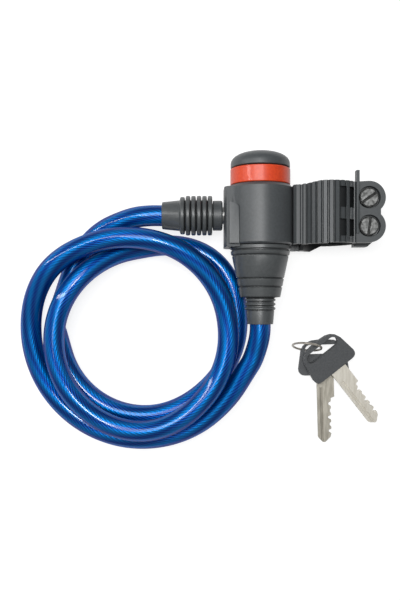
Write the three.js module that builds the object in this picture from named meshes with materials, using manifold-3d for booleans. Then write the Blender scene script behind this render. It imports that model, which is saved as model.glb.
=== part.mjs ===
// A keyed coiled cable lock for a bicycle, lying flat, with its frame bracket and its two keys.
// Millimetres. +X runs from the plug to the bracket, +Y along the lock's axis towards the key
// cover, +Z up. The origin is on the ground, under the middle of the lock.

import * as THREE from 'three'
import { mergeVertices } from 'three/addons/utils/BufferGeometryUtils.js'
import Module from 'manifold-3d'

const wasm = await Module()
wasm.setup()

// ---------------------------------------------------------------- driving dimensions

const SEAT_GAP = 0.3 // between pieces that rest on each other
const TURN_GAP = 0.15 // round a piece that turns in its bore
const EDGE = 0.3 // the small chamfer on a moulded rim
const PAST = 90 // further than any piece reaches, for a cut that runs right through

const BODY_RADIUS = 15.75
const BODY_TOP = 14.1
const BODY_BOTTOM = -14.1
const BODY_CHAMFER = 0.7
const REST_FLAT_WIDTH = 9 // the land that the lock lies on
const AXIS_HEIGHT = Math.sqrt(BODY_RADIUS ** 2 - (REST_FLAT_WIDTH / 2) ** 2)

const SPIGOT_RADIUS = 12.4 // carries the band
const BAND_RADIUS = 14.3
const BAND_TOP = 22.3
const COVER_SPIGOT_RADIUS = 11.3 // carries the key cover
const COVER_RADIUS = 14.15
const COVER_TOP = 30.6
const COVER_WALL = 1.7
const COVER_ROOM = 1 // between the cover's ceiling and its spigot
const COVER_DOME = { share: 0.75, power: 2.2, steps: 9 } // a dome between an ellipse and a box
const COVER_SLOT = [10.6, 3.4]
const COVER_CEILING = COVER_TOP - COVER_WALL * 2
const COVER_SPIGOT_TOP = COVER_CEILING - COVER_ROOM

const BOSS_FACE = -17.4
const BOSS_INNER = -9
const BOSS_TOP = 12.9
const BOSS_BOTTOM = -13.9
const BOSS_FOOT = -15.4 // the boss's outer wall runs on beside the boot's flange
const BOSS_HALF_HEIGHT = 9.4
const BOSS_ROUND = 3.4
const BOSS_PAD = { left: -15.2, right: -10.7, top: 5, bottom: -13.9, height: 12 }

const CASE_RADIUS = 8.6
const CASE_BOTTOM = -6.6
const PLUG_RADIUS = 6.6
const KEYWAY = [8.8, 2.7] // width of the blade's way, and its thickness

const CAM_RADIUS = 7.4
const CAM_HEIGHT = 2.4
const CAM_TAIL = 5 // square tail of the key plug
const CAM_TAIL_LENGTH = 1.5
const CRANK_THROW = 1.6
const CRANK_RADIUS = 1
const CRANK_START = Math.PI * 0.75 // the crank's place about the axis when the lock is open
const LATCH_TRAVEL = CRANK_THROW * Math.SQRT2

const PIN_RADIUS = 4.1
const PIN_TIP = -9.2
const PIN_CHAMFER = 1.1
const PIN_GROOVE = [-13.3, -11.1]
const PIN_GROOVE_RADIUS = 2.3
const LATCH_THICKNESS = 1.6
const LATCH_HALF = 3.4 // half the latch's width below the pin and at its nose
const NOSE_HEIGHT = 2.4
const ARM_TOP = -9.8
const ARM_THICKNESS = 2
const LATCH_ARM = { end: 2.4, half: 3 } // where the arm ends, and half its width

const END_PLATE_RADIUS = 12.6
const END_PLATE_THICKNESS = 1.5

const CABLE_RADIUS = 5
const BOOT_END = -51.8
const BOOT = {
  flange: 14.4, flangeEnd: -16.2, waist: 13.7, waistEnd: -16.9, ring: 14.2, ringEnd: -18.9,
  taperTop: 13.5, taperFoot: 9.6, taperEnd: -38.9, grooves: [-30, -34], grooveDepth: 0.5, grooveHalf: 0.4,
  ribs: 3, rib: 7.3, ribRoot: 6.6, ribEnd: -45.1, collar: 6.7, collarFoot: 6.2
}
const TAIL_CRIMP = { radius: 6.9, top: -17, bottom: -33 }

const PLUG = { left: -46.9, ribStart: -38.3, ribEnd: -22.6, neckEnd: -18.1 }
const PLUG_RIBS = 6
const RIB_RADIUS = 9.45
const FIRST_RIB_RADIUS = 8.95
const RIB_GAP = 0.4
const RIB_ROOT_RADIUS = 7.3
const PLUG_END_RADIUS = 6.5
const PLUG_COLLAR_RADIUS = 7.15
const COLLAR_WALL = 1.4
const PLUG_CRIMP = { radius: 5.9, left: -36, right: -25.5 }

const RAIL = { root: 14.6, neck: 16.9, head: 18.9, neckHalf: 3, headHalf: 5.5, half: 12 }
const RAIL_GAP = 0.3
const STRAP_CENTRE = 32.3
const STRAP_RADIUS = 14.3
const STRAP_WALL = 1.85
const STRAP_TOP = 14.9
const BASE_TOP = 13.5 // the strap's upper edge beside the lock
const STRAP_BOTTOM = [-16.5, -14]
const STRAP_RIBS = 32
const STRAP_RIB_DEPTH = 0.8
const STRAP_BASE_HALF = 9.2
const BASE_CORNER = 1.2
const BASE_FLUTE = 1.4 // depth of the grooves on both sides of the base's ridge
// The lower edge of the strap: deep beside the lock, then slanting up to the flange.
const STRAP_LOWER_EDGE = [[25.5, -16.4], [31, -13.7], [45.2, -13.4]]
// Two columns of pockets in the ribs beside the flange, in X, and their two rows, in Y.
const POCKETS = [[35.6, 38.8], [40.2, 42.9]]
const POCKET_ROWS = [[2.5, 12.2], [-10.7, -2.8]]
const POCKET_WALL = 0.9 // what is left between a pocket and the tube's way
const BASE_REACH = 10 // how near to the clamp's middle the base comes
const LINER_WALL = 1.3
const LINER_SET_BACK = 0.4 // from the strap's edges
const FLANGE = { start: 40, gap: 1.2, thickness: 6.2, lobe: 7.7, lobeX: 50.5, web: 55.9 }
const LOBES = [7.8, -5.6]
const FLANGE_LIP = { left: 45.2, right: 51.5, corner: 55, bottom: -14.7, top: -8 } // on the lower flange
const FIN = { x: 45, thickness: 1.4, bottom: -9, top: 20.4, low: 4.6, high: 8.4 }

const SCREW = { head: 4.5, headHeight: 2.8, shank: 2.4, slot: 1.2, slotDepth: 1.3, recess: 5.3 }
const SCREW_SLOT_ANGLES = [35, 82]
const NUT = { across: 8, height: 3.8 }

const KEY = {
  headHalf: 12.4, headTop: 20.3, headTopHalf: 2.5, headSide: 15, headSideHalf: 11, headBottom: 2.9,
  headThickness: 2.8, slotY: 15.6, slotHalf: 9, slotHalfWidth: 2.4, tangTop: 10,
  bladeLength: 30.7, shoulderWidth: 8.4, shoulderLength: 8.1, cutWidth: 6.6, thickness: 2,
  tipSlant: 2.5, tipLeft: 2.2, tipRight: 3.4
}
const HEAD_CORNER = 3.2 // how far the head's lower corners are rounded
const KEY_GROOVE = { inset: 1.3, width: 1.3, depth: 0.55, start: 3.4 }
const KEY_CUT = { mouthHalf: 1.2, floorHalf: 0.5 }
const KEY_CUTS = [1.2, 0.5, 1.5, 0.8, 1.3] // depth of each cut
const KEY_CUT_START = 11.6
const KEY_CUT_END = 3 // from the last cut to the slant of the tip
const KEY_CUT_PITCH = (KEY.bladeLength - KEY.tipSlant - KEY_CUT_END - KEY_CUT_START) / (KEY_CUTS.length - 1)
const KEY_FACE_TO_HEAD = 0.5 // between the cover and the key's head when it is in
const KEY_A = { x: 40.1, y: -76.7, turn: 38.5, slope: 8.8, height: 5.9 }
const KEY_B = { x: 32.55, y: -80.2, turn: 1.9, slope: 2.6, height: 2.6 }
const RING = { radius: 7, wire: 0.55, x: 23.6, y: -63.2, tilt: 73, turn: -8 }

// The coil, as seen from above, turns clockwise from the tail. Each station is an angle in
// degrees clockwise from +X, the radius about the coil's centre and the height of the cable.
const COIL_CENTRE = [-55.9, -55]
const COIL_STEPS = 24 // a turn
const COIL_SIDES = 6
const COIL_STATIONS = [
  [30, 52.2, 11.5], [45, 52.1, 9.6], [60, 52.6, 7.7], [90, 53.4, 5.8], [135, 54.6, 5], [180, 55.5, 7.6],
  [200, 54.9, 12.4], [215, 53.2, 16.2], [240, 48, 19.4], [270, 43.6, 21.6], [300, 41.6, 20],
  [330, 40.6, 16.8], [360, 40.6, 15.7], [405, 43.3, 15.8], [450, 47.9, 15.5], [495, 46, 15.7],
  [540, 42.4, 15.8], [580, 39.6, 14.6], [610, 39.4, 8.6], [630, 40.4, 5.6], [675, 48, 5],
  [720, 45.4, 5], [765, 42, 5], [810, 42.1, 5], [855, 42.1, 5], [885, 42.2, 5]
]
const TAIL_ROUTE = [[-0.6, -59.3, 14.8], [-2.5, -66.2, 13.7]]
const LEAD_ROUTE = [
  [-95.3, -37.2, 5.1], [-89.9, -22.6, 5.3], [-83, -12.4, 6.8], [-75.5, -6.4, 9.4],
  [-66.5, -2.6, 12.4], [-59, -0.6, 14.4]
]
const STRETCH_SIDES = 12

// ---------------------------------------------------------------- materials

const finishes = {
  housing: [0x4c4f50, 0.55, 0],
  rubber: [0x3f4142, 0.75, 0],
  band: [0xe5481f, 0.4, 0],
  brass: [0xb59a4c, 0.35, 0.9],
  steel: [0xb9b8b4, 0.3, 1],
  nickel: [0xc9c2b4, 0.3, 1],
  keyHead: [0x55585a, 0.6, 0],
  cable: [0x0b3f8c, 0.2, 0]
}
const materials = Object.fromEntries(Object.entries(finishes).map(([name, [color, roughness, metalness]]) =>
  [name, new THREE.MeshStandardMaterial({ color, roughness, metalness })]))

const group = new THREE.Group()

// ---------------------------------------------------------------- solids

const toSolid = (geometry) => {
  const bare = geometry.clone()
  bare.deleteAttribute('normal')
  bare.deleteAttribute('uv')
  const merged = mergeVertices(bare, 1e-4)
  return new wasm.Manifold(new wasm.Mesh({
    numProp: 3,
    vertProperties: new Float32Array(merged.attributes.position.array),
    triVerts: new Uint32Array(merged.index.array)
  }))
}

const toGeometry = (solid) => {
  const mesh = solid.getMesh()
  const geometry = new THREE.BufferGeometry()
  geometry.setAttribute('position', new THREE.BufferAttribute(mesh.vertProperties, 3))
  geometry.setIndex(new THREE.BufferAttribute(mesh.triVerts, 1))
  return geometry
}

// A box given by its low and high corner.
const box = (low, high) => {
  const size = high.map((value, axis) => value - low[axis])
  const geometry = new THREE.BoxGeometry(...size)
  geometry.translate(...low.map((value, axis) => value + size[axis] / 2))
  return toSolid(geometry)
}

// A profile of [radius, height] points turned about the Y axis.
const turned = (profile, segments = 48) => {
  const points = profile.map(([radius, height]) => new THREE.Vector2(radius, height))
  return toSolid(new THREE.LatheGeometry(points, segments))
}

// A round bar along Y between two heights, and a ring with the same ends.
const bar = (radius, bottom, top, segments = 48) =>
  turned([[0, bottom], [radius, bottom], [radius, top], [0, top]], segments)
const ring = (outer, inner, bottom, top, segments = 48) =>
  turned([[inner, bottom], [outer, bottom], [outer, top], [inner, top], [inner, bottom]], segments)

// The same bar and profile along X: the profile's heights become X.
const alongX = (solid) => solid.rotate([0, 0, -90])
// The same bar along Z.
const alongZ = (solid) => solid.rotate([90, 0, 0])

// An outline in X and Y pushed up along Z from a height.
const pushed = (outline, from, depth, curveSegments = 12) => {
  const geometry = new THREE.ExtrudeGeometry(outline, { depth, bevelEnabled: false, curveSegments })
  geometry.translate(0, 0, from)
  return toSolid(geometry)
}

const polygon = (points) => new THREE.Shape(points.map(([x, y]) => new THREE.Vector2(x, y)))

// An outline drawn in X and Z, pushed along Y from one end to the other.
const pushedAlongY = (outline, from, to, curveSegments = 12) =>
  pushed(outline, -to, to - from, curveSegments).rotate([90, 0, 0])

// An outline drawn in Y and Z, pushed along X.
const pushedAlongX = (points, from, to) => {
  const outline = polygon(points.map(([y, z]) => [y, z]))
  return pushed(outline, from, to - from).rotate([90, 0, 0]).rotate([0, 0, 90])
}

// A piece of the lock or its bracket, drawn about the lock's axis.
const add = (name, solid, finish) => {
  const mesh = new THREE.Mesh(toGeometry(solid), materials[finish])
  mesh.name = name
  mesh.position.z = AXIS_HEIGHT
  group.add(mesh)
}

// ---------------------------------------------------------------- lock body

const armBottom = ARM_TOP - ARM_THICKNESS
const camTop = CASE_BOTTOM - SEAT_GAP
const chamberRadius = CAM_RADIUS + 0.6
const plateSeat = BODY_BOTTOM + END_PLATE_THICKNESS + SEAT_GAP * 2

// The latch stands beside the pin's groove: its nose hangs over the pin.
const grooveMiddle = (PIN_GROOVE[0] + PIN_GROOVE[1]) / 2
const latchFaces = [grooveMiddle - LATCH_THICKNESS / 2, grooveMiddle + LATCH_THICKNESS / 2]
const noseHeight = PIN_GROOVE_RADIUS + SEAT_GAP + LATCH_TRAVEL
const noseTop = noseHeight + NOSE_HEIGHT
const latchInner = -PIN_RADIUS - 1
const latchOutline = [
  [armBottom, -LATCH_HALF], [latchInner, -LATCH_HALF], [latchInner, noseHeight], [LATCH_HALF, noseHeight],
  [LATCH_HALF, noseTop], [armBottom, noseTop]
]

const lockHousing = () => {
  let solid = turned([
    [0, BODY_BOTTOM], [BODY_RADIUS - BODY_CHAMFER, BODY_BOTTOM], [BODY_RADIUS, BODY_BOTTOM + BODY_CHAMFER],
    [BODY_RADIUS, BODY_TOP - BODY_CHAMFER * 2], [BODY_RADIUS - BODY_CHAMFER * 2, BODY_TOP],
    [SPIGOT_RADIUS, BODY_TOP], [SPIGOT_RADIUS, BAND_TOP], [COVER_SPIGOT_RADIUS, BAND_TOP],
    [COVER_SPIGOT_RADIUS, COVER_SPIGOT_TOP], [0, COVER_SPIGOT_TOP]
  ])
  // The square boss that takes the plug, with rounded upper and lower edges.
  const edge = BOSS_ROUND
  const bossSection = polygon([
    [BOSS_INNER, -BOSS_HALF_HEIGHT], [BOSS_FACE + edge, -BOSS_HALF_HEIGHT],
    [BOSS_FACE + edge * 0.3, -BOSS_HALF_HEIGHT + edge * 0.3], [BOSS_FACE, -BOSS_HALF_HEIGHT + edge],
    [BOSS_FACE, BOSS_HALF_HEIGHT - edge], [BOSS_FACE + edge * 0.3, BOSS_HALF_HEIGHT - edge * 0.3],
    [BOSS_FACE + edge, BOSS_HALF_HEIGHT], [BOSS_INNER, BOSS_HALF_HEIGHT + 2]
  ])
  solid = solid.add(pushedAlongY(bossSection, BOSS_BOTTOM, BOSS_TOP))
  const foot = pushedAlongY(bossSection, BOSS_FOOT, BOSS_BOTTOM)
  solid = solid.add(foot.subtract(bar(BOOT.flange + SEAT_GAP * 2, -PAST, BOSS_BOTTOM + 1)))
  // The raised land on the camera side of the boss, arched at its upper end.
  const land = new THREE.Shape()
  land.moveTo(BOSS_PAD.left, BOSS_PAD.bottom)
  land.lineTo(BOSS_PAD.right, BOSS_PAD.bottom)
  land.lineTo(BOSS_PAD.right, BOSS_PAD.top - 2)
  land.quadraticCurveTo(BOSS_PAD.right - 2, BOSS_PAD.top, BOSS_PAD.left, BOSS_PAD.top)
  solid = solid.add(pushed(land, 0, BOSS_PAD.height, 6))
  // The land that the lock lies on, and the one that the rail stands on.
  solid = solid.subtract(box([-PAST, -PAST, -PAST], [PAST, PAST, -AXIS_HEIGHT]))
  solid = solid.subtract(box([RAIL.root, -PAST, -PAST], [PAST, BODY_TOP + EDGE, PAST]))
  solid = solid.add(box([RAIL.root - 1, -RAIL.half, -RAIL.neckHalf],
    [RAIL.head - EDGE, RAIL.half, RAIL.neckHalf]))
  solid = solid.add(box([RAIL.neck, -RAIL.half, -RAIL.headHalf], [RAIL.head, RAIL.half, RAIL.headHalf]))
  // The bore of the lock cylinder, the cam's chamber and the seat of the end plate.
  solid = solid.subtract(bar(CASE_RADIUS + SEAT_GAP, CASE_BOTTOM - SEAT_GAP, COVER_SPIGOT_TOP + 1))
  solid = solid.subtract(bar(chamberRadius, BODY_BOTTOM - 1, CASE_BOTTOM))
  solid = solid.subtract(bar(END_PLATE_RADIUS + SEAT_GAP, BODY_BOTTOM - 1, plateSeat))
  // The socket for the pin, and the way of the latch past it.
  solid = solid.subtract(alongX(bar(PIN_RADIUS + SEAT_GAP, BOSS_FACE - 1, BOSS_INNER + 2, 32)))
  const wayLow = [latchFaces[0] - SEAT_GAP, BODY_BOTTOM - 1, -LATCH_HALF - LATCH_TRAVEL - SEAT_GAP]
  const wayTop = noseTop + SEAT_GAP
  solid = solid.subtract(box(wayLow, [latchFaces[1] + SEAT_GAP, LATCH_HALF + SEAT_GAP, wayTop]))
  return solid.subtract(box(wayLow, [LATCH_ARM.end + CRANK_THROW, ARM_TOP + SEAT_GAP, wayTop]))
}

const endPlate = () => {
  const bottom = BODY_BOTTOM + SEAT_GAP
  return bar(END_PLATE_RADIUS, bottom, bottom + END_PLATE_THICKNESS)
}

const redBand = () => {
  const bottom = BODY_TOP + SEAT_GAP
  const top = BAND_TOP - SEAT_GAP / 2
  const inner = SPIGOT_RADIUS + SEAT_GAP
  return turned([
    [inner, bottom], [BAND_RADIUS - EDGE, bottom], [BAND_RADIUS, bottom + EDGE],
    [BAND_RADIUS, top - EDGE], [BAND_RADIUS - EDGE, top], [inner, top], [inner, bottom]
  ])
}

// A domed cap; its slot lies across the keyway until it is turned.
const keyCover = () => {
  const bottom = BAND_TOP + SEAT_GAP
  const { share, power, steps } = COVER_DOME
  const height = (COVER_TOP - bottom) * share
  const dome = Array.from({ length: steps }, (_, index) => {
    const out = Math.cos((index / steps) * Math.PI / 2)
    return [COVER_RADIUS * out, COVER_TOP - height + height * (1 - out ** power) ** (1 / power)]
  })
  const inner = COVER_SPIGOT_RADIUS + SEAT_GAP
  const ceiling = COVER_CEILING
  const corner = COVER_WALL / 2
  const solid = turned([
    [inner, bottom], [COVER_RADIUS - EDGE, bottom], [COVER_RADIUS, bottom + EDGE],
    ...dome, [0, COVER_TOP], [0, ceiling],
    [inner - corner, ceiling], [inner, ceiling - corner], [inner, bottom]
  ])
  return solid.subtract(box([-COVER_SLOT[0] / 2, ceiling - 1, -COVER_SLOT[1] / 2],
    [COVER_SLOT[0] / 2, COVER_TOP + 1, COVER_SLOT[1] / 2]))
}

// ---------------------------------------------------------------- lock cylinder

const caseTop = COVER_SPIGOT_TOP
const plugTop = caseTop - SEAT_GAP
const bladeEdge = COVER_TOP + KEY_FACE_TO_HEAD // where the key's head stops

const cylinderCase = () => ring(CASE_RADIUS, PLUG_RADIUS + TURN_GAP, CASE_BOTTOM, caseTop, 40)

const waferHeights = KEY_CUTS.map((_, index) => bladeEdge - KEY_CUT_START - index * KEY_CUT_PITCH)
const WAFER = { width: 6.6, height: 10.8, thickness: 1.1 }

const keyPlug = () => {
  let solid = bar(PLUG_RADIUS, CASE_BOTTOM, plugTop, 40)
  const way = box([-KEYWAY[1] / 2, bladeEdge - KEY.bladeLength - 1, -KEYWAY[0] / 2],
    [KEYWAY[1] / 2, plugTop + 1, KEYWAY[0] / 2])
  solid = solid.subtract(way)
  for (const height of waferHeights) {
    const half = [WAFER.width, WAFER.thickness, WAFER.height].map((size) => (size + SEAT_GAP) / 2)
    const pocket = box(half.map((size) => -size), half)
    solid = solid.subtract(pocket.translate([0, height, 0]))
  }
  const tail = CAM_TAIL / 2
  return solid.add(box([-tail, CASE_BOTTOM - CAM_TAIL_LENGTH, -tail], [tail, CASE_BOTTOM + 1, tail]))
}

// A brass plate whose window is set by the depth of its cut on the key.
const wafer = (height, cut) => {
  const plate = box([-WAFER.width / 2, height - WAFER.thickness / 2, -WAFER.height / 2],
    [WAFER.width / 2, height + WAFER.thickness / 2, WAFER.height / 2])
  const half = KEY.cutWidth / 2 + SEAT_GAP
  return plate.subtract(box([-KEYWAY[1] / 2, height - 2, -half], [KEYWAY[1] / 2, height + 2, half - cut]))
}

// The cam on the key plug's tail: a disc with a square recess above and the crank pin below.
const driveCam = () => {
  const recess = CAM_TAIL / 2 + TURN_GAP
  const bottom = camTop - CAM_HEIGHT
  const disc = bar(CAM_RADIUS, bottom, camTop, 40).subtract(
    box([-recess, CASE_BOTTOM - CAM_TAIL_LENGTH - SEAT_GAP, -recess], [recess, camTop + 1, recess]))
  const crank = bar(CRANK_RADIUS, armBottom - 0.2, bottom + 0.2, 16)
  return disc.add(crank.translate(
    [CRANK_THROW * Math.cos(CRANK_START), 0, CRANK_THROW * Math.sin(CRANK_START)]))
}

// The latch: a plate past the pin, and an arm under the cam with a slot for the crank.
const latchBolt = () => {
  const plate = pushedAlongX(latchOutline, latchFaces[0], latchFaces[1])
  const crankX = CRANK_THROW * Math.cos(CRANK_START)
  const crankZ = CRANK_THROW * Math.sin(CRANK_START)
  const arm = box([latchFaces[0], armBottom, crankZ - LATCH_ARM.half],
    [LATCH_ARM.end, ARM_TOP, crankZ + LATCH_ARM.half])
  const slotHalf = CRANK_RADIUS + SEAT_GAP
  const reach = CRANK_THROW * (1 - Math.SQRT1_2)
  const slot = box([crankX - slotHalf - reach, armBottom - 1, crankZ - slotHalf],
    [crankX + slotHalf, ARM_TOP + 1, crankZ + slotHalf])
  return plate.add(arm).subtract(slot)
}

// ---------------------------------------------------------------- tail boot

const cableBore = CABLE_RADIUS + SEAT_GAP

const tailBoot = () => {
  const top = BODY_BOTTOM - SEAT_GAP
  const outer = [
    [BOOT.flange - EDGE, top], [BOOT.flange, top - EDGE], [BOOT.flange, BOOT.flangeEnd],
    [BOOT.waist, BOOT.flangeEnd - EDGE], [BOOT.waist, BOOT.waistEnd], [BOOT.ring, BOOT.waistEnd - EDGE],
    [BOOT.ring - EDGE, BOOT.ringEnd], [BOOT.taperTop - EDGE, BOOT.ringEnd - EDGE],
    [BOOT.taperTop, BOOT.ringEnd - EDGE * 3]
  ]
  // The long taper, with its grooves, down to the step.
  const taper = (y) => {
    const share = (y - BOOT.ringEnd) / (BOOT.taperEnd - BOOT.ringEnd)
    return BOOT.taperTop + share * (BOOT.taperFoot - BOOT.taperTop)
  }
  for (const at of BOOT.grooves) {
    const half = BOOT.grooveHalf
    const floor = taper(at) - BOOT.grooveDepth
    outer.push([taper(at + half), at + half], [floor, at + half / 4],
      [floor, at - half / 4], [taper(at - half), at - half])
  }
  const ribTop = BOOT.taperEnd - EDGE
  outer.push([BOOT.taperFoot, BOOT.taperEnd], [BOOT.rib, ribTop])
  // The small ribs below the step, and the plain end collar.
  const pitch = (BOOT.taperEnd - BOOT.ribEnd) / BOOT.ribs
  for (let index = 0; index < BOOT.ribs; index += 1) {
    const y = ribTop - index * pitch
    outer.push([BOOT.ribRoot, y - EDGE], [BOOT.rib, y - EDGE * 2],
      [BOOT.rib, y - pitch + EDGE * 2], [BOOT.ribRoot, y - pitch + EDGE])
  }
  outer.push([BOOT.collar, BOOT.ribEnd - EDGE * 2], [BOOT.collarFoot, BOOT_END])
  const profile = [[0, top], ...outer, [0, BOOT_END]].reverse()
  const crimpRadius = TAIL_CRIMP.radius + SEAT_GAP
  return turned(profile, 36)
    .subtract(bar(cableBore, BOOT_END - 1, top + 1, 24))
    .subtract(bar(crimpRadius, TAIL_CRIMP.bottom - SEAT_GAP, top + 1, 24))
}

const crimp = (radius, from, to) => {
  const waist = 0.4
  const length = to - from
  return turned([
    [cableBore, from], [radius, from], [radius, from + length * 0.3], [radius - waist, from + length * 0.36],
    [radius - waist, from + length * 0.64], [radius, from + length * 0.7], [radius, to],
    [cableBore, to], [cableBore, from]
  ], 24)
}

const tailCrimp = () => crimp(TAIL_CRIMP.radius, TAIL_CRIMP.bottom, TAIL_CRIMP.top)
const tailCableEnd = () => bar(CABLE_RADIUS, BOOT_END, BODY_BOTTOM - SEAT_GAP, 24)

// ---------------------------------------------------------------- plug

const plugBoot = () => {
  const pitch = (PLUG.ribEnd - PLUG.ribStart) / PLUG_RIBS
  const outer = [
    [PLUG_END_RADIUS - EDGE, PLUG.left], [PLUG_END_RADIUS, PLUG.left + EDGE],
    [RIB_ROOT_RADIUS, PLUG.ribStart - EDGE]
  ]
  for (let index = 0; index < PLUG_RIBS; index += 1) {
    const at = PLUG.ribStart + index * pitch
    const crest = index === 0 ? FIRST_RIB_RADIUS : RIB_RADIUS
    outer.push([crest - EDGE, at + EDGE / 2], [crest, at + EDGE * 2], [crest, at + pitch - EDGE * 3],
      [crest - EDGE, at + pitch - RIB_GAP])
    if (index < PLUG_RIBS - 1) {
      outer.push([RIB_ROOT_RADIUS, at + pitch - RIB_GAP + EDGE / 2], [RIB_ROOT_RADIUS, at + pitch])
    }
  }
  const profile = [[0, PLUG.left], ...outer, [0, PLUG.ribEnd - RIB_GAP]]
  const solid = turned(profile, 32)
    .subtract(bar(cableBore, PLUG.left - 1, PLUG.ribEnd + 1, 24))
    .subtract(bar(PLUG_CRIMP.radius + SEAT_GAP, PLUG_CRIMP.left - SEAT_GAP, PLUG.ribEnd + 1, 24))
  return alongX(solid)
}

const pinFoot = PLUG_CRIMP.right + SEAT_GAP
const collarStep = PLUG.neckEnd - COLLAR_WALL

const plugCollar = () => {
  const left = PLUG.ribEnd - RIB_GAP + SEAT_GAP
  const inner = PLUG_CRIMP.radius + SEAT_GAP
  const bore = PIN_RADIUS + SEAT_GAP
  const solid = turned([
    [inner, left], [PLUG_COLLAR_RADIUS - EDGE, left], [PLUG_COLLAR_RADIUS, left + EDGE],
    [PLUG_COLLAR_RADIUS, PLUG.neckEnd - EDGE * 2], [PLUG_COLLAR_RADIUS - EDGE * 2, PLUG.neckEnd],
    [bore, PLUG.neckEnd], [bore, collarStep], [inner, collarStep], [inner, left]
  ], 40)
  return alongX(solid)
}

const plugPin = () => alongX(turned([
  [0, pinFoot], [PLUG_CRIMP.radius, pinFoot], [PLUG_CRIMP.radius, collarStep - SEAT_GAP],
  [PIN_RADIUS, collarStep - SEAT_GAP], [PIN_RADIUS, PIN_GROOVE[0]],
  [PIN_GROOVE_RADIUS, PIN_GROOVE[0]], [PIN_GROOVE_RADIUS, PIN_GROOVE[1]],
  [PIN_RADIUS, PIN_GROOVE[1]], [PIN_RADIUS, PIN_TIP - PIN_CHAMFER], [PIN_RADIUS - PIN_CHAMFER, PIN_TIP],
  [0, PIN_TIP]
], 32))

const plugCrimp = () => alongX(crimp(PLUG_CRIMP.radius, PLUG_CRIMP.left, PLUG_CRIMP.right))
const plugCableEnd = () => alongX(bar(CABLE_RADIUS, PLUG.left, PLUG_CRIMP.right, 24))

// ---------------------------------------------------------------- frame bracket

const strapInner = STRAP_RADIUS - STRAP_RIB_DEPTH - STRAP_WALL
const linerInner = strapInner - SEAT_GAP - LINER_WALL

const flangeTop = FLANGE.gap + FLANGE.thickness

const recessFloor = flangeTop - SCREW.headHeight - 0.2
const nutRadius = NUT.across / Math.sqrt(3)

// The gap that closes as the screws are tightened, through the strap and its liner.
const flangeGap = () => box([STRAP_CENTRE, -PAST, -FLANGE.gap], [PAST, PAST, FLANGE.gap])

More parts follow.
